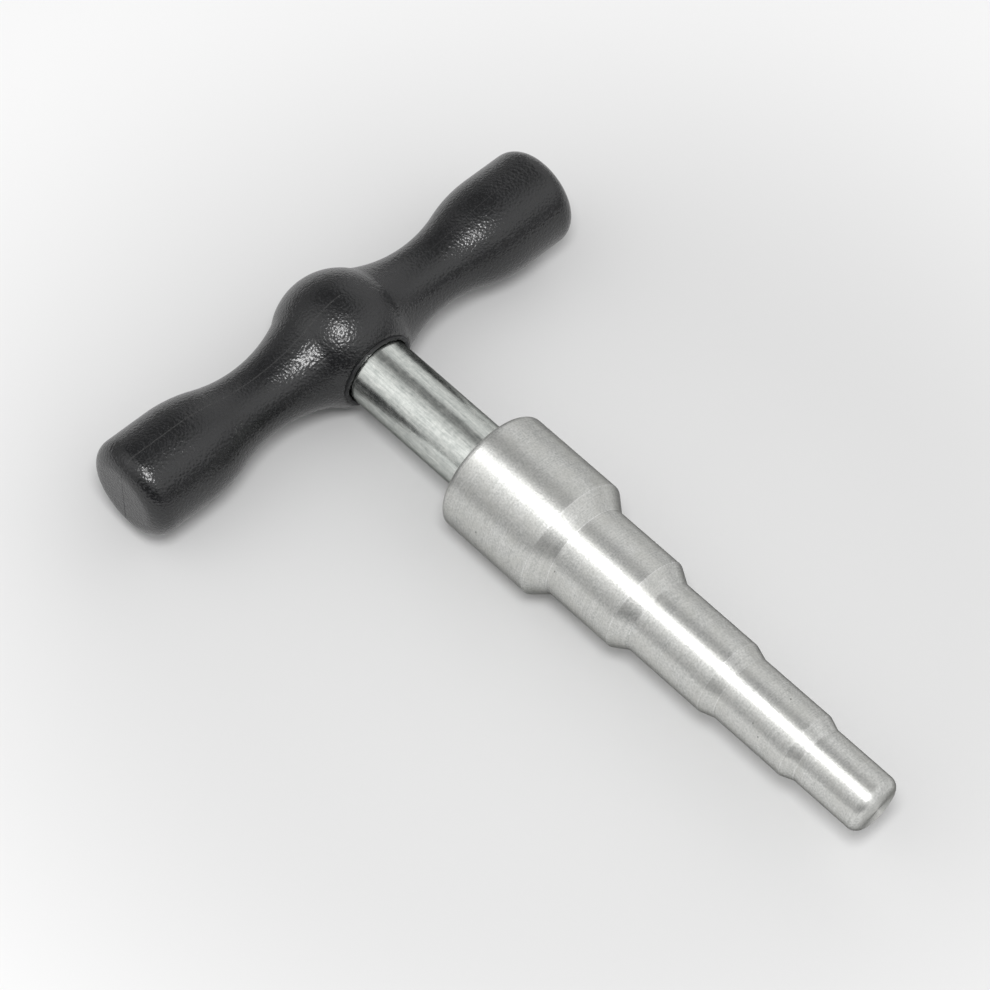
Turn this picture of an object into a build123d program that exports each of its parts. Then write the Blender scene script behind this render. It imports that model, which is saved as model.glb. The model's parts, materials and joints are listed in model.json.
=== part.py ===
"""T-handled stepped expander that rounds and sizes the ends of composite pipes.

A turned aluminium mandrel screws on to the front of a zinc-plated steel shank. The back of the
shank screws into a knurled brass bush, and the plastic T-handle is moulded round that bush.

The origin is the centre of the mandrel's flat nose. +X points out of the nose along the shank,
+Y runs along the handle and +Z is up as the tool lies flat. All sizes are in millimetres.
"""

from build123d import *
from math import acos, atan2, cos, degrees, radians, sin, tan
import os

# Mandrel: each land is turned to the bore of the pipe that it rounds
land_32_diameter = 26.0
land_26_diameter = 20.0
land_20_diameter = 16.0
land_18_diameter = 14.0
land_16_diameter = 12.0
land_32_length = 22.0
land_26_length = 15.75
land_20_length = 17.85
land_18_length = 16.25
land_16_length = 15.05
cone_32_to_26_length = 3.65
cone_26_to_20_length = 3.4
cone_20_to_18_length = 3.05
cone_18_to_16_length = 2.6
rear_chamfer = 1.0
nose_rounding = 2.0

# Shank: a plain bar with a turned-down threaded end at each shoulder
shank_diameter = 14.4
exposed_length = 30.6
shoulder_chamfer = 0.5

# Threaded ends, drawn as plain cylinders at the thread's nominal diameter
thread_diameter = 10.0
thread_clearance = 0.05
front_thread_length = 18.0
back_thread_length = 11.0
relief_diameter = 8.2
relief_length = 2.0
thread_lead_chamfer = 1.0
tapping_depth_allowance = 3.0
drill_diameter = 8.5
drill_point_angle = 118.0
hole_mouth_chamfer = 0.6

# Handle: a ball on the shank's axis with a waisted arm on each side
handle_half_length = 54.9
hub_ball_radius = 13.6
hub_flat_setback = 10.4
hub_edge_rounding = 0.8
arm_leaves_ball_angle = 48.5
hub_blend_radius = 1.5
neck_radius = 7.15
neck_offset = 22.2
waist_arc_radius = 30.0
shoulder_arc_radius = 30.0
grip_radius = 10.4
end_rounding = 4.0

# Mouth of the handle, where the shank goes in
mouth_clearance = 0.25
lip_width = 0.75
lip_height = 0.45
seat_depth = 4.0

# Knurled bush moulded into the handle
bush_diameter = 16.0
bush_length = 14.0
bush_groove_diameter = 13.0
bush_groove_width = 3.0
bush_chamfer = 0.5
knurl_count = 16
knurl_depth = 0.5

# Places along the shank's axis, measured back from the flat of the nose
lands = [
    (land_16_diameter, land_16_length, cone_18_to_16_length),
    (land_18_diameter, land_18_length, cone_20_to_18_length),
    (land_20_diameter, land_20_length, cone_26_to_20_length),
    (land_26_diameter, land_26_length, cone_32_to_26_length),
    (land_32_diameter, land_32_length, 0.0),
]
mandrel_length = sum(length + cone for _, length, cone in lands)
mandrel_rear = -mandrel_length
mouth_face = mandrel_rear - exposed_length
hub_flat = mouth_face - lip_height
hub_centre = hub_flat - hub_flat_setback
bush_front = mouth_face - seat_depth
mouth_radius = shank_diameter / 2 + mouth_clearance
lip_radius = mouth_radius + lip_width
thread_radius = thread_diameter / 2
tapped_radius = thread_radius + thread_clearance


def stepped_mandrel():
    """Turned aluminium mandrel, with a blind tapped hole in its rear face."""
    with BuildPart() as mandrel:
        with BuildSketch(Plane.XY):
            with BuildLine():
                outline = [(0, 0)]
                station = 0.0
                for diameter, length, cone in lands:
                    outline.append((station, diameter / 2))
                    station -= length
                    outline.append((station, diameter / 2))
                    station -= cone
                outline.append((station, 0))
                Polyline(*outline, close=True)
            make_face()
        revolve(axis=Axis.X)
        rims = mandrel.edges().filter_by(GeomType.CIRCLE).sort_by(Axis.X)
        chamfer(rims[0], rear_chamfer)
        fillet(rims[-1], nose_rounding)

        # The tapped depth is the threaded end's length and a little more, then the drill's point
        tapped_depth = front_thread_length + tapping_depth_allowance
        point_length = drill_diameter / 2 / tan(radians(drill_point_angle / 2))
        with BuildSketch(Plane.XY):
            with BuildLine():
                Polyline(
                    (mandrel_rear, 0),
                    (mandrel_rear, tapped_radius + hole_mouth_chamfer),
                    (mandrel_rear + hole_mouth_chamfer, tapped_radius),
                    (mandrel_rear + tapped_depth, tapped_radius),
                    (mandrel_rear + tapped_depth, drill_diameter / 2),
                    (mandrel_rear + tapped_depth + point_length, 0),
                    close=True,
                )
            make_face()
        revolve(axis=Axis.X, mode=Mode.SUBTRACT)
    return mandrel.part


def shank():
    """Zinc-plated bar from the bush's front face to the mandrel's rear face."""

    def threaded_end(shoulder, length, direction):
        relief_radius = relief_diameter / 2
        return [
            (shoulder, relief_radius),
            (shoulder + direction * relief_length, relief_radius),
            (shoulder + direction * relief_length, thread_radius),
            (shoulder + direction * (length - thread_lead_chamfer), thread_radius),
            (shoulder + direction * length, thread_radius - thread_lead_chamfer),
            (shoulder + direction * length, 0),
        ]

    bar_radius = shank_diameter / 2
    with BuildPart() as bar:
        with BuildSketch(Plane.XY):
            with BuildLine():
                Polyline(
                    *reversed(threaded_end(bush_front, back_thread_length, -1)),
                    (bush_front, bar_radius - shoulder_chamfer),
                    (bush_front + shoulder_chamfer, bar_radius),
                    (mandrel_rear - shoulder_chamfer, bar_radius),
                    (mandrel_rear, bar_radius - shoulder_chamfer),
                    *threaded_end(mandrel_rear, front_thread_length, 1),
                    close=True,
                )
            make_face()
        revolve(axis=Axis.X)
    return bar.part


def handle_bush():
    """Brass bush, knurled in two bands so that the moulded handle can't turn or pull off."""
    bush_radius = bush_diameter / 2
    bush_back = bush_front - bush_length
    groove_middle = bush_front - bush_length / 2
    with BuildPart() as bush:
        with BuildSketch(Plane.YZ.offset(bush_back)):
            Circle(bush_radius)
        extrude(amount=bush_length)
        chamfer(bush.edges().filter_by(GeomType.CIRCLE), bush_chamfer)

        # One knurl groove is a V across the rim, and the rest repeat it round the axis
        with BuildSketch(Plane.YZ.offset(bush_back)):
            with PolarLocations(bush_radius, knurl_count):
                RegularPolygon(knurl_depth, 4)
        extrude(amount=bush_length, mode=Mode.SUBTRACT)

        with BuildSketch(Plane.YZ.offset(groove_middle)):
            Circle(bush_diameter)
            Circle(bush_groove_diameter / 2, mode=Mode.SUBTRACT)
        extrude(amount=bush_groove_width / 2, both=True, mode=Mode.SUBTRACT)

        with Locations(Plane.YZ.offset(bush_front)):
            CounterSinkHole(
                tapped_radius,
                tapped_radius + hole_mouth_chamfer,
                depth=bush_length,
                counter_sink_angle=90,
            )
    return bush.part


def t_handle(bush):
    """Moulded handle: a ball and two waisted arms turned about one axis, closed round the bush."""
    # Outwards from the neck, two equal turns make an S up to the grip
    grip_rise = grip_radius - neck_radius
    outer_turn = degrees(acos(1 - grip_rise / (waist_arc_radius + shoulder_arc_radius)))

    # Inwards from the neck, one arc runs up to the point where the arm leaves the ball
    join_angle = radians(arm_leaves_ball_angle)
    join = (hub_ball_radius * cos(join_angle), hub_ball_radius * sin(join_angle))
    join_run = neck_offset - join[0]
    join_rise = join[1] - neck_radius
    inner_turn = degrees(2 * atan2(join_rise, join_run))
    inner_arc_radius = (join_run**2 + join_rise**2) / (2 * join_rise)

    neck = (neck_offset, neck_radius)
    grip_end = (handle_half_length, grip_radius)
    with BuildPart() as handle:
        with BuildSketch(Plane.YZ.offset(hub_centre)) as section:
            with BuildLine():
                CenterArc((0, 0), hub_ball_radius, arm_leaves_ball_angle, 90 - arm_leaves_ball_angle)
                JernArc(neck, (-1, 0), inner_arc_radius, -inner_turn)
                waist = JernArc(neck, (1, 0), waist_arc_radius, outer_turn)
                shoulder = JernArc(waist @ 1, waist % 1, shoulder_arc_radius, -outer_turn)
                Polyline(shoulder @ 1, grip_end, (handle_half_length, 0), (0, 0), (0, hub_ball_radius))
            make_face()
            fillet(section.vertices().sort_by_distance(join)[0], hub_blend_radius)
            fillet(section.vertices().sort_by_distance(grip_end)[0], end_rounding)
            mirror(about=Plane.YZ)
        revolve(axis=Axis((hub_centre, 0, 0), (0, 1, 0)))

        # The front of the ball is faced off square to the shank
        with BuildSketch(Plane.YZ.offset(hub_flat)):
            Rectangle(2 * hub_ball_radius, 2 * hub_ball_radius)
        extrude(amount=hub_ball_radius, mode=Mode.SUBTRACT)
        flat_rim = handle.faces().sort_by(Axis.X)[-1].edges()
        fillet(flat_rim, hub_edge_rounding)

        with BuildSketch(Plane.YZ.offset(hub_flat)):
            Circle(lip_radius)
        extrude(amount=lip_height)

        with BuildSketch(Plane.YZ.offset(bush_front)):
            Circle(mouth_radius)
        extrude(amount=mouth_face - bush_front, mode=Mode.SUBTRACT)

        # The moulding closes on the bush and leaves room behind it for the threaded end
        add(bush, mode=Mode.SUBTRACT)
        with BuildSketch(Plane.YZ.offset(bush_front)):
            Circle(tapped_radius + hole_mouth_chamfer)
        extrude(amount=-bush_length, mode=Mode.SUBTRACT)
    return handle.part


os.makedirs("parts", exist_ok=True)
brass_bush = handle_bush()
pieces = {
    "stepped_mandrel": stepped_mandrel(),
    "shank": shank(),
    "handle_bush": brass_bush,
    "t_handle": t_handle(brass_bush),
}
for name, piece in pieces.items():
    piece.label = name
    export_step(piece, f"parts/{name}.step")
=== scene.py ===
# %% [markdown]
# # A T-handled pipe expander
#
# The tool rounds and sizes the cut end of a composite pipe. A turned aluminium mandrel carries one
# land for each pipe size, a zinc-plated steel shank joins it to a black moulded T-handle, and a
# brass bush inside the handle holds the shank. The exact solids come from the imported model. This
# lesson gives them the finish of the real thing, and remodels the two pieces whose surfaces show
# the most of how they were made: the moulded handle and the turned mandrel.
#
# Everything is in metres in the tool's own frame: the origin is the centre of the mandrel's nose,
# +X points out of the nose, +Y runs along the handle and +Z is up as the tool lies flat.

import json
from math import acos, atan2, cos, degrees, pi, radians, sin, sqrt

import bpy
from mathutils import Matrix, Vector


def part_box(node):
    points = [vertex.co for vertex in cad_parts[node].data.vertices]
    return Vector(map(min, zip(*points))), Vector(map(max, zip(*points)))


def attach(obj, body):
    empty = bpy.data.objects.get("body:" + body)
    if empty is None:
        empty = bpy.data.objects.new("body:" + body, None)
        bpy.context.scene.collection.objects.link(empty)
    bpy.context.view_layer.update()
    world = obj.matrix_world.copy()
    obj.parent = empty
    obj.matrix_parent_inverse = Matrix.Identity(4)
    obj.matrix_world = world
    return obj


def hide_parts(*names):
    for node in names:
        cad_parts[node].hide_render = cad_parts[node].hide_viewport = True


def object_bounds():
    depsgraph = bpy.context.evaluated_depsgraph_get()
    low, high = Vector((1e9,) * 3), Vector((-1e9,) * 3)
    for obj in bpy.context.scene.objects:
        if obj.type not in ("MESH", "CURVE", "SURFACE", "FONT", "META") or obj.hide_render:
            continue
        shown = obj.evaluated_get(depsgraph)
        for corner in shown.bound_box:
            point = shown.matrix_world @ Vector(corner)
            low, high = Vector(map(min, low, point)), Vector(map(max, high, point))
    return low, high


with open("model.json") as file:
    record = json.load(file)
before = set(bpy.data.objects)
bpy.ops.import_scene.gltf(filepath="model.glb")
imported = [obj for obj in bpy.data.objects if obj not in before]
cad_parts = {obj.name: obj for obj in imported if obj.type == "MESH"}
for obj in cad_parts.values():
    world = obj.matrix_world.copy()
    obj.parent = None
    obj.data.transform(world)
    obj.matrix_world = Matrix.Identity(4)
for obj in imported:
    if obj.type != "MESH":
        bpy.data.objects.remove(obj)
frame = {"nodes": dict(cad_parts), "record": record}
cad_low, cad_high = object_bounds()
MM = 0.001
print("nodes:", sorted(frame["nodes"]))
print("size in mm:", [round(side / MM, 1) for side in cad_high - cad_low])

# %% [markdown]
# ## Where things are
#
# The record lists each land of the mandrel as a pin with its middle, radius and length. Reading
# them from there, and the handle's box from its node, keeps the scene true to the model when one of
# those sizes changes. What the frame doesn't hold, such as the arc of a waist, is typed in below.

# %% Read the sizes
pins = {mount["name"]: mount for mount in frame["record"]["mounts"] if mount["kind"] == "pin"}
lands = []
for name in sorted(pins):
    middle = pins[name]["pos_m"][0]
    half = pins[name]["dims"]["length_mm"] * MM / 2
    lands.append((pins[name]["dims"]["r_mm"] * MM, middle + half, middle - half))

mandrel_low, mandrel_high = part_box("stepped_mandrel")
shank_low, shank_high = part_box("shank")
bush_low, bush_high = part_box("handle_bush")
handle_low, handle_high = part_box("t_handle")
ball_radius = handle_high.z
half_length = handle_high.y
hub_x = handle_low.x + ball_radius
for radius, front, back in lands:
    print("land", round(2 * radius / MM, 2), "mm from x", round(front / MM, 2), "to", round(back / MM, 2))
print("handle axis at x", round(hub_x / MM, 2), "ball radius", round(ball_radius / MM, 2))

# %% [markdown]
# ## Two helpers for working as by hand
#
# Operators act on whatever is selected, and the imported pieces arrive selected. So every step starts
# with nothing selected, and in edit mode the vertices, edges or faces are picked by where they are.

# %% Selection helpers
def start_fresh():
    """Leaves edit mode and deselects every object."""
    if bpy.context.object and bpy.context.object.mode != "OBJECT":
        bpy.ops.object.mode_set(mode="OBJECT")
    bpy.ops.object.select_all(action="DESELECT")


def pick(piece, kind, test):
    """Selects the vertices, edges or faces of a piece whose centre passes the test."""
    bpy.ops.object.mode_set(mode="EDIT")
    bpy.ops.mesh.select_mode(type=kind)
    bpy.ops.mesh.select_all(action="DESELECT")
    bpy.ops.object.mode_set(mode="OBJECT")
    mesh = piece.data
    count = 0
    if kind == "VERT":
        for vertex in mesh.vertices:
            vertex.select = test(vertex.co)
            count += vertex.select
    elif kind == "EDGE":
        for edge in mesh.edges:
            a, b = (mesh.vertices[i].co for i in edge.vertices)
            edge.select = test(a, b)
            count += edge.select
    else:
        for face in mesh.polygons:
            face.select = test(face)
            count += face.select
    bpy.ops.object.mode_set(mode="EDIT")
    return count


print("helpers ready")

# %% [markdown]
# ## A turned form from its outline
#
# Most of this tool is round, as a lathe or a round mould cavity makes it. By hand, such a form starts
# as one vertex that is extruded from point to point along half of the outline, and the Spin operator
# then turns that line about the axis. A plane merged to its centre is the single vertex.

# %% Draw and spin an outline
def turn_form(name, outline, centre, axis, steps):
    """A closed piece made by turning an outline, a list of points, about an axis."""
    start_fresh()
    bpy.ops.mesh.primitive_plane_add(size=MM, location=(0, 0, 0))
    piece = bpy.context.object
    piece.name = name
    piece.data.name = name
    bpy.ops.object.mode_set(mode="EDIT")
    bpy.ops.mesh.merge(type="CENTER")
    bpy.ops.transform.translate(value=outline[0])
    for here, there in zip(outline, outline[1:]):
        step = Vector(there) - Vector(here)
        bpy.ops.mesh.extrude_region_move(TRANSFORM_OT_translate={"value": step})
    bpy.ops.mesh.select_all(action="SELECT")
    bpy.ops.mesh.spin(steps=steps, angle=2 * pi, center=centre, axis=axis)
    bpy.ops.mesh.select_all(action="SELECT")
    bpy.ops.mesh.remove_doubles(threshold=0.002 * MM)
    bpy.ops.mesh.normals_make_consistent(inside=False)
    bpy.ops.object.mode_set(mode="OBJECT")
    print(name, "has", len(piece.data.polygons), "faces")
    return piece


def arc(centre, radius, start, end, count):
    """Points along an arc, as (along, out) pairs, with angles in degrees from the axis."""
    turns = [radians(start + (end - start) * i / count) for i in range(count + 1)]
    return [(centre[0] + radius * cos(t), centre[1] + radius * sin(t)) for t in turns]


# %% [markdown]
# ## The handle's outline
#
# The handle is one moulding turned about its own length: a ball in the middle, a waist each side for
# the fingers, and a plain round grip out to each end. The outline is a chain of arcs. The arm leaves
# the ball at about 48 degrees with a soft blend, an arc runs down to the neck, and two equal arcs
# make an S up to the grip, which ends in a rounded edge.

# %% Handle outline
arm_leaves_ball = 48.5
neck_radius = 7.15 * MM
neck_offset = 22.2 * MM
waist_arc = 30.0 * MM
grip_radius = 10.4 * MM
end_rounding = 4.0 * MM
hub_blend = 6.0 * MM

join = (ball_radius * cos(radians(arm_leaves_ball)), ball_radius * sin(radians(arm_leaves_ball)))
run, rise = neck_offset - join[0], join[1] - neck_radius
inner_arc = (run**2 + rise**2) / (2 * rise)
outer_turn = degrees(acos(1 - (grip_radius - neck_radius) / (2 * waist_arc)))
shoulder_at = neck_offset + 2 * waist_arc * sin(radians(outer_turn))

# The blend is a circle that touches the ball from outside and the arm's arc from inside
arm_centre = (neck_offset, neck_radius + inner_arc)
apart = sqrt(arm_centre[0] ** 2 + arm_centre[1] ** 2)
from_ball, from_arm = ball_radius + hub_blend, inner_arc - hub_blend
along = (from_ball**2 - from_arm**2 + apart**2) / (2 * apart)
tilt = atan2(arm_centre[1], arm_centre[0]) - acos(along / from_ball)
blend_centre = (from_ball * cos(tilt), from_ball * sin(tilt))
to_arm = atan2(blend_centre[1] - arm_centre[1], blend_centre[0] - arm_centre[0])
ball_leaves, arm_begins = degrees(tilt), degrees(to_arm)

half_outline = arc((0, 0), ball_radius, 90, ball_leaves, 24)
half_outline += arc(blend_centre, hub_blend, ball_leaves - 180, arm_begins, 4)[1:]
half_outline += arc(arm_centre, inner_arc, arm_begins, -90, 14)[1:]
half_outline += arc((neck_offset, neck_radius + waist_arc), waist_arc, -90, -90 + outer_turn, 10)[1:]
half_outline += arc((shoulder_at, grip_radius - waist_arc), waist_arc, 90 + outer_turn, 90, 10)[1:]
grip_end = half_length - end_rounding
half_outline += [(shoulder_at + (grip_end - shoulder_at) * i / 10, grip_radius) for i in range(1, 10)]
half_outline += arc((grip_end, grip_radius - end_rounding), end_rounding, 90, 0, 10)
half_outline += [(half_length, (grip_radius - end_rounding) * (1 - i / 6)) for i in range(1, 7)]
print("outline points on one side:", len(half_outline))

# %% Turn the handle
left_side = [(-along, out) for along, out in reversed(half_outline)]
handle_outline = [Vector((hub_x, along, out)) for along, out in left_side + half_outline[1:]]
handle = turn_form("moulded_handle", handle_outline, (hub_x, 0, 0), (0, 1, 0), 144)

# %% [markdown]
# ## The faced mouth
#
# The front of the ball is cut flat, and a thin lip stands round the hole where the shank goes in. A
# bisect cuts the ball just behind the flat and fills the cut with one face. Insets and extrusions of
# that face then round the rim out to the flat and give the lip, the hole and, further in, the pocket
# that the brass bush fills. The insets need an even rim, and a much larger or smaller blend at the
# arms may not leave one, so after a change there the handle's printed size is worth a look.

# %% Cut the flat and sink the mouth
lip_height = 0.45 * MM
lip_width = 0.75 * MM
mouth_clearance = 0.25 * MM
shank_radius = shank_high.z
mouth_radius = shank_radius + mouth_clearance
lip_radius = mouth_radius + lip_width
flat_x = handle_high.x - lip_height
rim_rounding = 0.8 * MM
rim_along = flat_x - hub_x - rim_rounding
rim_out = sqrt((ball_radius - rim_rounding) ** 2 - rim_along**2)
rim = arc((rim_along, rim_out), rim_rounding, degrees(atan2(rim_out, rim_along)), 0, 4)

pick(handle, "FACE", lambda face: abs(face.center.y) < ball_radius)
bpy.ops.mesh.bisect(
    plane_co=(hub_x + rim[0][0], 0, 0), plane_no=(1, 0, 0), use_fill=True, clear_outer=True
)
bpy.ops.object.mode_set(mode="OBJECT")


def is_front_cap(face):
    """True for the one big face across the front of the ball."""
    return face.normal.x > 0.99 and face.area > 0.5 * pi * mouth_radius**2


pick(handle, "FACE", is_front_cap)
for (here, out), (there, further_in) in zip(rim, rim[1:]):
    bpy.ops.mesh.inset(thickness=out - further_in, depth=there - here)
bpy.ops.mesh.inset(thickness=rim_out - lip_radius, depth=0)
for thickness, depth in ((0.05 * MM, 0.35 * MM), (0.1 * MM, 0.1 * MM)):
    bpy.ops.mesh.inset(thickness=thickness, depth=depth)
bpy.ops.mesh.inset(thickness=lip_width - 0.25 * MM, depth=0)
bpy.ops.mesh.inset(thickness=0.1 * MM, depth=-0.1 * MM)
bpy.ops.mesh.extrude_region_move(
    TRANSFORM_OT_translate={"value": (bush_high.x - handle_high.x + 0.1 * MM, 0, 0)}
)
bpy.ops.object.mode_set(mode="OBJECT")
print("mouth sunk to x", round(bush_high.x / MM, 2))

# %% Pocket for the bush
pick(handle, "FACE", is_front_cap)
pocket_scale = bush_high.z / mouth_radius
bpy.ops.mesh.extrude_region_move(TRANSFORM_OT_translate={"value": (0, 0, 0)})
bpy.ops.transform.resize(
    value=(1, pocket_scale, pocket_scale), center_override=(bush_high.x, 0, 0)
)
bpy.ops.mesh.extrude_region_move(
    TRANSFORM_OT_translate={"value": (bush_low.x - bush_high.x, 0, 0)}
)
bpy.ops.object.mode_set(mode="OBJECT")
print("pocket runs back to x", round(bush_low.x / MM, 2))

# %% [markdown]
# ## Parting line
#
# The mould splits in the plane through the handle's length and square to the shank. A thin raised
# line of flash stands along the top of the arms there, and on the end faces the trimmed line is left
# as a crease. The spin started in that very plane, so a row of edges already lies on it. Bevelling
# those edges gives two narrow strips, and pushing the middle row in or out makes the line.

# %% Bevel the row of edges in the parting plane
flash_half_width = 0.2 * MM
flash_height = 0.1 * MM
crease_depth = 0.22 * MM
on_plane = 0.01 * MM
end_face_y = half_length - 0.3 * end_rounding


def on_parting_line(a, b):
    """True for an outside edge that lies in the parting plane, away from the mouth."""
    return abs(a.x - hub_x) < on_plane and abs(b.x - hub_x) < on_plane


print("edges on the parting line:", pick(handle, "EDGE", on_parting_line))
bpy.ops.mesh.bevel(offset=flash_half_width, segments=2, affect="EDGES", clamp_overlap=True)
bpy.ops.object.mode_set(mode="OBJECT")


def flash_top(low, high):
    """A test for the middle row of the bevelled strip between two places along the arm."""
    return lambda co: abs(co.x - hub_x) < on_plane and low < co.y < high


# %% Raise the flash and sink the crease
for low, high, height in (
    (-end_face_y, -3.2 * MM, flash_height),
    (-1.6 * MM, -0.4 * MM, -1.5 * flash_height),
    (3.2 * MM, end_face_y, 0.35 * flash_height),
    (-2 * half_length, -end_face_y, -crease_depth),
    (end_face_y, 2 * half_length, -0.5 * crease_depth),
):
    print("row vertices:", pick(handle, "VERT", flash_top(low, high)))
    bpy.ops.transform.shrink_fatten(value=height)
    bpy.ops.object.mode_set(mode="OBJECT")

# %% Finish the handle's mesh
start_fresh()
handle.select_set(True)
bpy.context.view_layer.objects.active = handle
bpy.ops.object.shade_smooth_by_angle(angle=radians(35))
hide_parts("t_handle")
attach(handle, "root")
print("handle size in mm:", [round(side / MM, 2) for side in handle.dimensions])

# %% [markdown]
# ## The turned mandrel
#
# The mandrel is turned from bar: five lands, a short cone between each pair, a chamfer at the back
# and a rounded nose. The outline goes from the nose's middle back along the lands, then into the
# tapped hole in the rear face. The sharp edges that a lathe leaves are broken with a file, so each
# corner gets a tiny bevel, and the chamfer at the back is rounded more, so that it shades from light
# to dark.

# %% Mandrel outline
rear_chamfer = 1.0 * MM
nose_rounding = 2.0 * MM
hole_radius = 5.05 * MM
hole_mouth = 0.6 * MM
hole_end = shank_high.x + 3.0 * MM
drill_radius = 4.25 * MM
drill_point = 2.55 * MM
edge_break = 0.18 * MM
rear_rounding = 0.5 * MM

nose_radius = lands[0][0]
mandrel_points = [(0.0, 0.0), (0.0, 0.5 * (nose_radius - nose_rounding))]
mandrel_points += arc((-nose_rounding, nose_radius - nose_rounding), nose_rounding, 0, 90, 8)
mandrel_points.append((lands[0][2], nose_radius))
for radius, front, back in lands[1:]:
    mandrel_points += [(front, radius), (back, radius)]
rear_x = mandrel_low.x
rear_radius = lands[-1][0]
mandrel_points += [
    (rear_x, rear_radius - rear_chamfer),
    (rear_x, hole_radius + hole_mouth),
    (rear_x + hole_mouth, hole_radius),
    (hole_end, hole_radius),
    (hole_end, drill_radius),
    (hole_end + drill_point, 0.0),
]
mandrel_outline = [Vector((along, 0, out)) for along, out in mandrel_points]
mandrel = turn_form("turned_mandrel", mandrel_outline, (0, 0, 0), (1, 0, 0), 192)

# %% Break the edges
corner_radii = [radius for radius, _, _ in lands] + [rear_radius - rear_chamfer]


def is_land_corner(a, b):
    """True for an edge that runs round the outside at one of the mandrel's corners."""
    out = sqrt(a.y**2 + a.z**2)
    same_out = abs(out - sqrt(b.y**2 + b.z**2)) < on_plane
    round_edge = abs(a.x - b.x) < on_plane and same_out
    on_corner = any(abs(out - radius) < on_plane for radius in corner_radii)
    return round_edge and on_corner and a.x < -nose_rounding - on_plane


def is_rear_corner(a, b):
    """True for an edge round either side of the chamfer at the back."""
    return is_land_corner(a, b) and a.x < rear_x + rear_chamfer + on_plane


print("rear edges:", pick(mandrel, "EDGE", is_rear_corner))
bpy.ops.mesh.bevel(offset=rear_rounding, segments=4, affect="EDGES")
bpy.ops.object.mode_set(mode="OBJECT")
corner_radii.pop()
print("corner edges:", pick(mandrel, "EDGE", lambda a, b: is_land_corner(a, b) and not is_rear_corner(a, b)))
bpy.ops.mesh.bevel(offset=edge_break, segments=2, affect="EDGES")
bpy.ops.object.mode_set(mode="OBJECT")
start_fresh()
mandrel.select_set(True)
bpy.context.view_layer.objects.active = mandrel
bpy.ops.object.shade_smooth_by_angle(angle=radians(28))
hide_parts("stepped_mandrel")
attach(mandrel, "root")
print("mandrel faces:", len(mandrel.data.polygons))

# %% [markdown]
# ## Material helpers
#
# Each finish is a small node tree on a Principled shader. Object coordinates are in metres here, so
# a scale of 1000 counts in millimetres. A helper adds a node, sets its inputs and links it, which
# keeps each material short enough to read.

# %% Node helpers
def new_material(name):
    """An empty material with its Principled shader and output joined."""
    material = bpy.data.materials.new(name)
    material.use_nodes = True
    tree = material.node_tree
    tree.nodes.clear()
    shader = tree.nodes.new("ShaderNodeBsdfPrincipled")
    output = tree.nodes.new("ShaderNodeOutputMaterial")
    tree.links.new(shader.outputs["BSDF"], output.inputs["Surface"])
    return material, tree, shader


def add(tree, kind, inputs=None, **settings):
    """Adds a node, sets its properties, and sets or links its inputs."""
    node = tree.nodes.new(kind)
    for key, value in settings.items():
        setattr(node, key, value)
    for key, value in (inputs or {}).items():
        if isinstance(value, bpy.types.NodeSocket):
            tree.links.new(value, node.inputs[key])
        else:
            node.inputs[key].default_value = value
    return node


def math(tree, operation, a, b=0.0, clamp=False):
    """The result of a Math node on two numbers or sockets."""
    return add(tree, "ShaderNodeMath", {0: a, 1: b}, operation=operation, use_clamp=clamp).outputs[0]


def mix_colour(tree, factor, a, b):
    """The result of mixing two colours."""
    node = add(tree, "ShaderNodeMix", {0: factor, 6: a, 7: b}, data_type="RGBA")
    return node.outputs[2]


def remap(tree, value, low, high, out_low, out_high, kind="LINEAR"):
    """A value carried from one range to another."""
    inputs = {0: value, 1: low, 2: high, 3: out_low, 4: out_high}
    return add(tree, "ShaderNodeMapRange", inputs, interpolation_type=kind).outputs[0]


def object_place(tree, scale=(1, 1, 1), location=(0, 0, 0)):
    """Object coordinates, moved and scaled."""
    coords = tree.nodes.new("ShaderNodeTexCoord").outputs["Object"]
    inputs = {"Vector": coords, "Location": location, "Scale": scale}
    return add(tree, "ShaderNodeMapping", inputs).outputs[0]


def noise(tree, vector, scale, detail=2.0, roughness=0.5):
    """A noise value from 0 to 1."""
    inputs = {"Vector": vector, "Scale": scale, "Detail": detail, "Roughness": roughness}
    return add(tree, "ShaderNodeTexNoise", inputs).outputs[0]


print("material helpers ready")

# %% [markdown]
# ## Turned aluminium
#
# A lathe leaves fine rings round the work, so light is smeared along the axis and stays sharp round
# it. That is anisotropy: the tangent runs round the mandrel and the highlight stretches across it.
# The rings themselves are noise squeezed thin along X, given to the bump and, faintly, to the colour.
# A fine speckle, a few dark pits and light nicks show its use. Each corner is painted lighter, a
# painted highlight in place of the glint along its broken edge.

# %% Turned aluminium
def round_tangent(tree):
    """The direction round the X axis at each point, for the anisotropic highlight."""
    place = add(tree, "ShaderNodeSeparateXYZ", {0: object_place(tree)})
    turned = math(tree, "MULTIPLY", place.outputs[2], -1.0)
    around = add(tree, "ShaderNodeCombineXYZ", {1: turned, 2: place.outputs[1]})
    inputs = {0: around.outputs[0]}
    world = add(
        tree, "ShaderNodeVectorTransform", inputs,
        vector_type="VECTOR", convert_from="OBJECT", convert_to="WORLD",
    )
    return add(tree, "ShaderNodeVectorMath", {0: world.outputs[0]}, operation="NORMALIZE").outputs[0]


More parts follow.
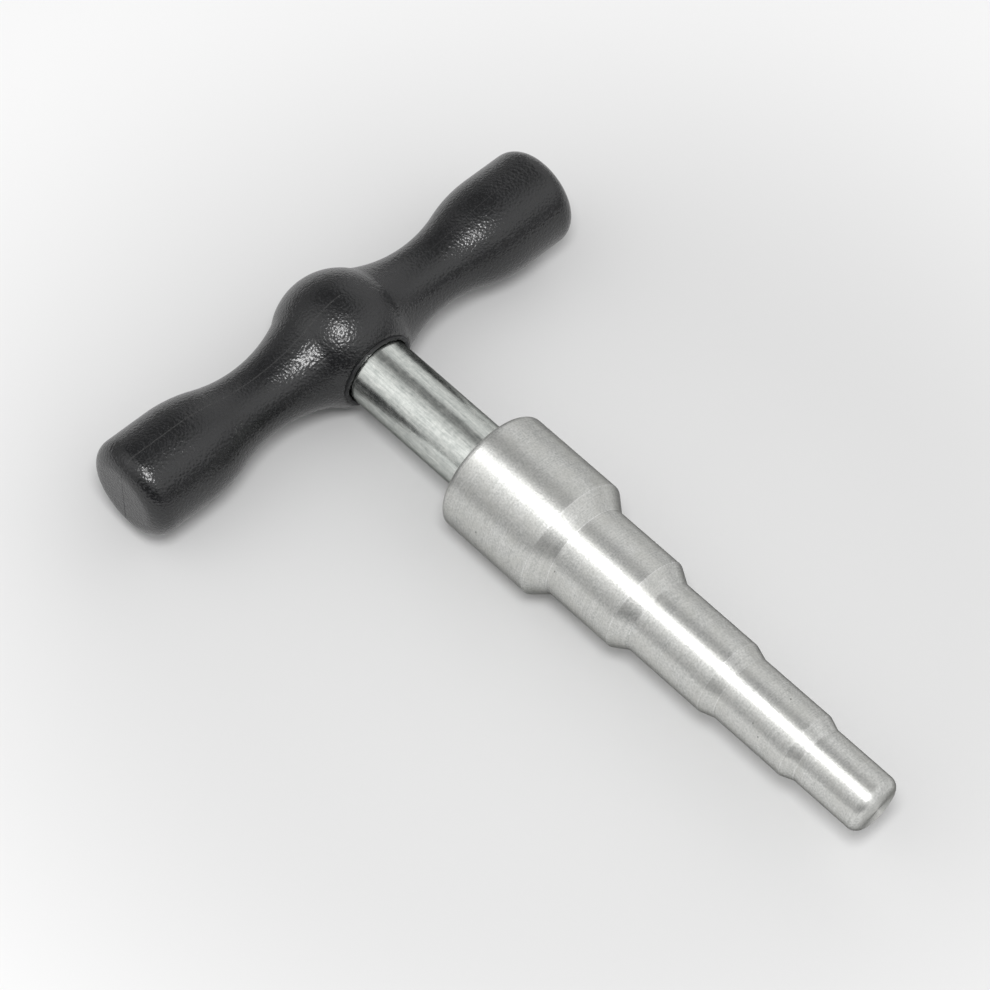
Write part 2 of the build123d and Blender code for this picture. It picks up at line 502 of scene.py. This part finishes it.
aluminium, tree, shader = new_material("turned_aluminium")
ring_place = object_place(tree, scale=(9000, 60, 60))
rings = noise(tree, ring_place, 1.0, detail=3.0, roughness=0.6)
cloud = noise(tree, object_place(tree, scale=(260, 260, 260)), 1.0, detail=3.0)
fine = noise(tree, object_place(tree, scale=(2600, 2600, 2600)), 1.0, detail=2.0)
shade = math(tree, "ADD", math(tree, "MULTIPLY", rings, 0.4), math(tree, "MULTIPLY", fine, 0.6))
tone = remap(tree, shade, 0.36, 0.64, 0.0, 1.0)
colour = mix_colour(tree, tone, (0.55, 0.56, 0.54, 1), (0.86, 0.86, 0.84, 1))
colour = mix_colour(tree, remap(tree, cloud, 0.35, 0.7, 0.0, 0.45), colour, (0.70, 0.70, 0.66, 1))
grain = noise(tree, object_place(tree, scale=(3600, 3600, 3600)), 1.0, detail=1.0)


def specks(scale, size):
    """Small spots, one in each cell, with the cell's size given by the scale."""
    cells = add(tree, "ShaderNodeTexVoronoi", {"Vector": object_place(tree, scale=scale), "Scale": 1.0})
    return remap(tree, cells.outputs[0], 0.5 * size, size, 1.0, 0.0)


pits = math(tree, "MULTIPLY", specks((300, 260, 260), 0.06), math(tree, "GREATER_THAN", cloud, 0.52))
colour = mix_colour(tree, pits, colour, (0.22, 0.22, 0.21, 1))
nicks = math(tree, "MULTIPLY", specks((190, 520, 520), 0.07), math(tree, "LESS_THAN", cloud, 0.50))
colour = mix_colour(tree, nicks, colour, (0.95, 0.95, 0.94, 1))

along_axis = add(tree, "ShaderNodeSeparateXYZ", {0: object_place(tree)}).outputs[0]
# Painted highlight: a thin band at each land corner is painted near white, as the edge's glint.
painted_edge_highlight = 0.0
for radius, front, back in lands:
    for corner in (front, back):
        if rear_x + MM < corner < -nose_rounding - MM:
            here = math(tree, "COMPARE", along_axis, corner)
            here.node.inputs[2].default_value = 0.07 * MM
            painted_edge_highlight = here if painted_edge_highlight == 0.0 else math(tree, "ADD", painted_edge_highlight, here)
colour = mix_colour(tree, math(tree, "MULTIPLY", painted_edge_highlight, tone), colour, (0.95, 0.95, 0.94, 1))
ring_bump = add(
    tree, "ShaderNodeBump",
    {"Strength": 0.12, "Distance": 0.01 * MM, "Height": rings},
)
bump = add(
    tree, "ShaderNodeBump",
    {"Strength": 1.0, "Distance": 0.02 * MM, "Height": grain, "Normal": ring_bump.outputs[0]},
)
shader.inputs["Metallic"].default_value = 1.0
shader.inputs["Anisotropic"].default_value = 0.79
shader.inputs["Anisotropic Rotation"].default_value = 0.25
shader.inputs["Specular Tint"].default_value = (0.1, 0.1, 0.1, 1)
tree.links.new(colour, shader.inputs["Base Color"])
tree.links.new(remap(tree, cloud, 0.3, 0.7, 0.41, 0.45), shader.inputs["Roughness"])
tree.links.new(bump.outputs[0], shader.inputs["Normal"])
tree.links.new(round_tangent(tree), shader.inputs["Tangent"])
mandrel.data.materials.clear()
mandrel.data.materials.append(aluminium)
print("turned aluminium:", len(tree.nodes), "nodes")

# %% [markdown]
# ## Zinc-plated steel
#
# The shank is drawn bar with a bright zinc plate. It is glossier than the mandrel and mottled, with
# faint streaks along its length from the drawing die and a slightly greenish grey from passivation.

# %% Zinc plate
zinc, tree, shader = new_material("zinc_plated_steel")
streak = noise(tree, object_place(tree, scale=(300, 2500, 2500)), 1.0, detail=3.0)
mottle = noise(tree, object_place(tree, scale=(900, 900, 900)), 1.0, detail=4.0, roughness=0.65)
blend = math(tree, "ADD", math(tree, "MULTIPLY", streak, 0.5), math(tree, "MULTIPLY", mottle, 0.5))
tone = remap(tree, blend, 0.32, 0.68, 0.0, 1.0)
colour = mix_colour(tree, tone, (0.46, 0.49, 0.47, 1), (0.86, 0.88, 0.84, 1))
shader.inputs["Specular Tint"].default_value = (0.2, 0.2, 0.2, 1)
bump = add(
    tree, "ShaderNodeBump",
    {"Strength": 0.5, "Distance": 0.02 * MM, "Height": blend},
)
shader.inputs["Metallic"].default_value = 1.0
tree.links.new(colour, shader.inputs["Base Color"])
tree.links.new(remap(tree, mottle, 0.3, 0.7, 0.16, 0.26), shader.inputs["Roughness"])
tree.links.new(bump.outputs[0], shader.inputs["Normal"])
frame["nodes"]["shank"].data.materials.clear()
frame["nodes"]["shank"].data.materials.append(zinc)
print("zinc plate:", len(tree.nodes), "nodes")

# %% [markdown]
# ## Brass
#
# The bush is machined brass. It sits inside the moulding, so only someone who takes the tool apart
# sees it, but it gets the yellow metal and fine rings of a bar-turned insert.

# %% Brass
brass, tree, shader = new_material("brass")
rings = noise(tree, object_place(tree, scale=(6000, 80, 80)), 1.0, detail=2.0)
colour = mix_colour(tree, rings, (0.62, 0.42, 0.16, 1), (0.80, 0.60, 0.28, 1))
bump = add(tree, "ShaderNodeBump", {"Strength": 0.3, "Distance": 0.01 * MM, "Height": rings})
shader.inputs["Metallic"].default_value = 1.0
tree.links.new(colour, shader.inputs["Base Color"])
tree.links.new(remap(tree, rings, 0.3, 0.7, 0.28, 0.38), shader.inputs["Roughness"])
tree.links.new(bump.outputs[0], shader.inputs["Normal"])
frame["nodes"]["handle_bush"].data.materials.clear()
frame["nodes"]["handle_bush"].data.materials.append(brass)
print("brass:", len(tree.nodes), "nodes")

# %% [markdown]
# ## Grained black plastic
#
# The mould cavity was etched, which leaves a fine pebbled grain that sparkles where light strikes it.
# Smooth Voronoi cells about half a millimetre wide make the pebbles, with noise over them so that no
# two are alike. The colour is a charcoal black, a little lighter on the pebbles' tops. The lip round
# the mouth has no grain and is duller.

# %% Handle plastic
plastic, tree, shader = new_material("handle_plastic")
place = object_place(tree, scale=(1000, 1000, 1000))
wander = add(tree, "ShaderNodeTexNoise", {"Vector": place, "Scale": 1.3, "Detail": 2.0})
offset = add(tree, "ShaderNodeVectorMath", {0: wander.outputs[1], 1: (0.6, 0.6, 0.6)}, operation="MULTIPLY")
moved = add(tree, "ShaderNodeVectorMath", {0: place, 1: offset.outputs[0]}, operation="ADD")
pebbles = add(
    tree, "ShaderNodeTexVoronoi",
    {"Vector": moved.outputs[0], "Scale": 1.9, "Smoothness": 0.6, "Randomness": 1.0},
    feature="SMOOTH_F1",
)
grit = noise(tree, place, 5.0, detail=3.0, roughness=0.6)
height = math(tree, "ADD", math(tree, "MULTIPLY", pebbles.outputs[0], -1.0), math(tree, "MULTIPLY", grit, 0.15))
ring = add(
    tree, "ShaderNodeVectorMath", {0: object_place(tree, scale=(0, 1, 1))}, operation="LENGTH"
).outputs["Value"]
spot = add(tree, "ShaderNodeSeparateXYZ", {0: object_place(tree, location=(-hub_x, 0, 0))}).outputs
at_front = math(tree, "GREATER_THAN", spot[0], flat_x - hub_x - 0.1 * MM)
near_lip = math(tree, "MULTIPLY", at_front, remap(tree, ring, lip_radius, lip_radius + 0.3 * MM, 1.0, 0.0))
height = add(tree, "ShaderNodeMix", {0: near_lip, 2: height, 3: -0.25}).outputs[0]
bump = add(tree, "ShaderNodeBump", {"Strength": 1.0, "Distance": 0.08 * MM, "Height": height})
tone = remap(tree, height, -0.6, 0.1, 0.0, 1.0)
colour = mix_colour(tree, tone, (0.002, 0.0022, 0.0028, 1), (0.005, 0.0055, 0.007, 1))
shader.inputs["Specular IOR Level"].default_value = 0.7

# Painted highlight: along the top of the left arm the flash is painted lighter. This is partly wear on the ridge
# and partly a painted highlight where the ridge faces the lamp.
off_plane = math(tree, "ABSOLUTE", spot[0])
on_flash = remap(tree, off_plane, 0.06 * MM, 0.16 * MM, 1.0, 0.0)
left_top = math(tree, "MULTIPLY", math(tree, "LESS_THAN", spot[1], 0.0), math(tree, "GREATER_THAN", spot[2], 0.0))
worn_and_highlit_flash = math(tree, "MULTIPLY", math(tree, "MULTIPLY", on_flash, left_top), remap(tree, grit, 0.35, 0.6, 0.3, 1.0))
colour = mix_colour(tree, worn_and_highlit_flash, colour, (0.06, 0.06, 0.06, 1))
tree.links.new(colour, shader.inputs["Base Color"])
gloss = add(tree, "ShaderNodeMix", {0: near_lip, 2: remap(tree, grit, 0.3, 0.7, 0.22, 0.30), 3: 0.5}).outputs[0]
tree.links.new(gloss, shader.inputs["Roughness"])
tree.links.new(bump.outputs[0], shader.inputs["Normal"])
handle.data.materials.clear()
handle.data.materials.append(plastic)
print("handle plastic:", len(tree.nodes), "nodes")

# %% [markdown]
# ## Camera
#
# The photograph looks down on the tool from the side of its nose. The camera stands where that view
# was taken, with a long lens, and leans by a few degrees.

# %% Camera
camera_place = Vector((145.1, -258.9, 522.3)) * MM
camera_target = Vector((-94.4, -3.4, 0.0)) * MM
camera_lean = radians(3.5)
lens = 121.8
sensor = 36.0

camera_data = bpy.data.cameras.new("camera")
camera_data.lens = lens
camera_data.sensor_width = sensor
camera = bpy.data.objects.new("camera", camera_data)
bpy.context.scene.collection.objects.link(camera)
aim = (camera_target - camera_place).to_track_quat("-Z", "Y").to_matrix()
camera.matrix_world = Matrix.Translation(camera_place) @ (aim @ Matrix.Rotation(camera_lean, 3, "Z")).to_4x4()
bpy.context.scene.camera = camera
bpy.context.view_layer.update()
for i, label in enumerate(("right", "up", "back")):
    print("camera", label, [round(v, 4) for v in camera.matrix_world.col[i][:3]])

# %% [markdown]
# ## Floor
#
# The tool lies on a plain white sheet, which keeps the tool's own soft shadow. Its colour makes the
# ground pale, and a painted shadow makes it greyer close to the tool, so that the metal's lower sides
# stay grey too.

# %% Floor
start_fresh()
bpy.ops.mesh.primitive_plane_add(size=6.0, location=(hub_x / 2, 0, cad_low.z))
floor = bpy.context.object
floor.name = "floor"
white, tree, shader = new_material("floor_white")
coords = tree.nodes.new("ShaderNodeTexCoord").outputs["Object"]
away = add(tree, "ShaderNodeVectorMath", {0: coords}, operation="LENGTH").outputs["Value"]
# Painted shadow: the floor's colour is a grey 0.70 near the tool and fades to 0.95 from 65 to 190 mm out.
painted_shadow_fade = remap(tree, away, 65 * MM, 190 * MM, 0.0, 1.0, "SMOOTHSTEP")
tree.links.new(mix_colour(tree, painted_shadow_fade, (0.70, 0.70, 0.70, 1), (0.95, 0.95, 0.95, 1)), shader.inputs["Base Color"])
shader.inputs["Roughness"].default_value = 0.9
shader.inputs["Specular IOR Level"].default_value = 0.1
floor.data.materials.append(white)
print("floor at z", round(cad_low.z / MM, 2), "mm")

# %% [markdown]
# ## Light
#
# The picture was taken in a pale room with the lamp just above the lens. A small soft lamp there
# draws the bright line along the lands, and the room is a smooth sky with darker and lighter places,
# which the metal shows as its bands.

# %% Room
world = bpy.data.worlds.new("room")
bpy.context.scene.world = world
world.use_nodes = True
tree = world.node_tree
tree.nodes.clear()
direction = tree.nodes.new("ShaderNodeTexCoord").outputs["Generated"]
toward = add(tree, "ShaderNodeSeparateXYZ", {0: direction}).outputs


def fade(value, low, high):
    """A smooth rise from 0 to 1 as a value goes from low to high."""
    return remap(tree, value, low, high, 0.0, 1.0, "SMOOTHSTEP")


def both(a, b):
    """Two shares multiplied."""
    return math(tree, "MULTIPLY", a, b)


horizon_level = 0.42
bright_level = 0.80
top_level = 0.68
beam_share = 0.66
person_share = 0.8
glow_gain = 0.35
window_gain = 0.3
back_share = 0.35
front_share = 0.5

rise = both(fade(toward[2], -0.05, 0.42), bright_level - horizon_level)
fall = both(fade(toward[2], 0.65, 0.95), top_level - bright_level)
level = math(tree, "ADD", math(tree, "ADD", rise, fall), horizon_level)

beam = both(fade(toward[1], -0.14, 0.12), fade(toward[1], 0.56, 0.38))
beam = both(both(beam, fade(toward[0], 0.18, -0.1)), fade(toward[2], 0.3, 0.6))
level = both(level, math(tree, "SUBTRACT", 1.0, both(beam, beam_share)))

person = both(fade(toward[0], 0.0, 0.16), fade(toward[1], -0.30, -0.45))
person = both(person, fade(toward[2], 0.58, 0.44))
level = both(level, math(tree, "SUBTRACT", 1.0, both(person, person_share)))

window = both(fade(toward[0], 0.12, 0.4), fade(toward[1], -0.3, 0.0))
window = both(window, both(fade(toward[2], 0.32, 0.5), fade(toward[2], 0.96, 0.84)))
level = both(level, math(tree, "ADD", 1.0, both(window, window_gain)))

glow = both(both(fade(toward[1], -0.88, -0.66), fade(toward[1], -0.2, -0.46)), fade(toward[0], 0.25, 0.0))
level = both(level, math(tree, "ADD", 1.0, both(both(glow, fade(toward[2], 0.2, 0.5)), glow_gain)))

back = fade(toward[0], -0.55, -0.78)
level = both(level, math(tree, "SUBTRACT", 1.0, both(back, back_share)))
front = both(fade(toward[0], 0.45, 0.75), fade(toward[2], 0.42, 0.2))
level = both(level, math(tree, "SUBTRACT", 1.0, both(front, front_share)))
background = add(tree, "ShaderNodeBackground", {0: (1.0, 1.0, 1.0, 1), 1: level})
output = tree.nodes.new("ShaderNodeOutputWorld")
tree.links.new(background.outputs[0], output.inputs["Surface"])
print("room level from", horizon_level, "to", bright_level)

# %% Lamp above the lens
lamp_rise = 110 * MM
lamp_size = 170 * MM
lamp_watts = 2.0

lamp_data = bpy.data.lights.new("lamp", "AREA")
lamp_data.shape = "DISK"
lamp_data.size = lamp_size
lamp_data.energy = lamp_watts
lamp = bpy.data.objects.new("lamp", lamp_data)
bpy.context.scene.collection.objects.link(lamp)
lamp_place = camera_place + lamp_rise * camera.matrix_world.col[1].to_3d()
lamp_aim = (camera_target - lamp_place).to_track_quat("-Z", "Y").to_matrix().to_4x4()
lamp.matrix_world = Matrix.Translation(lamp_place) @ lamp_aim
bpy.context.scene.view_settings.view_transform = "Standard"
print("lamp at", [round(v / MM, 1) for v in lamp_place])
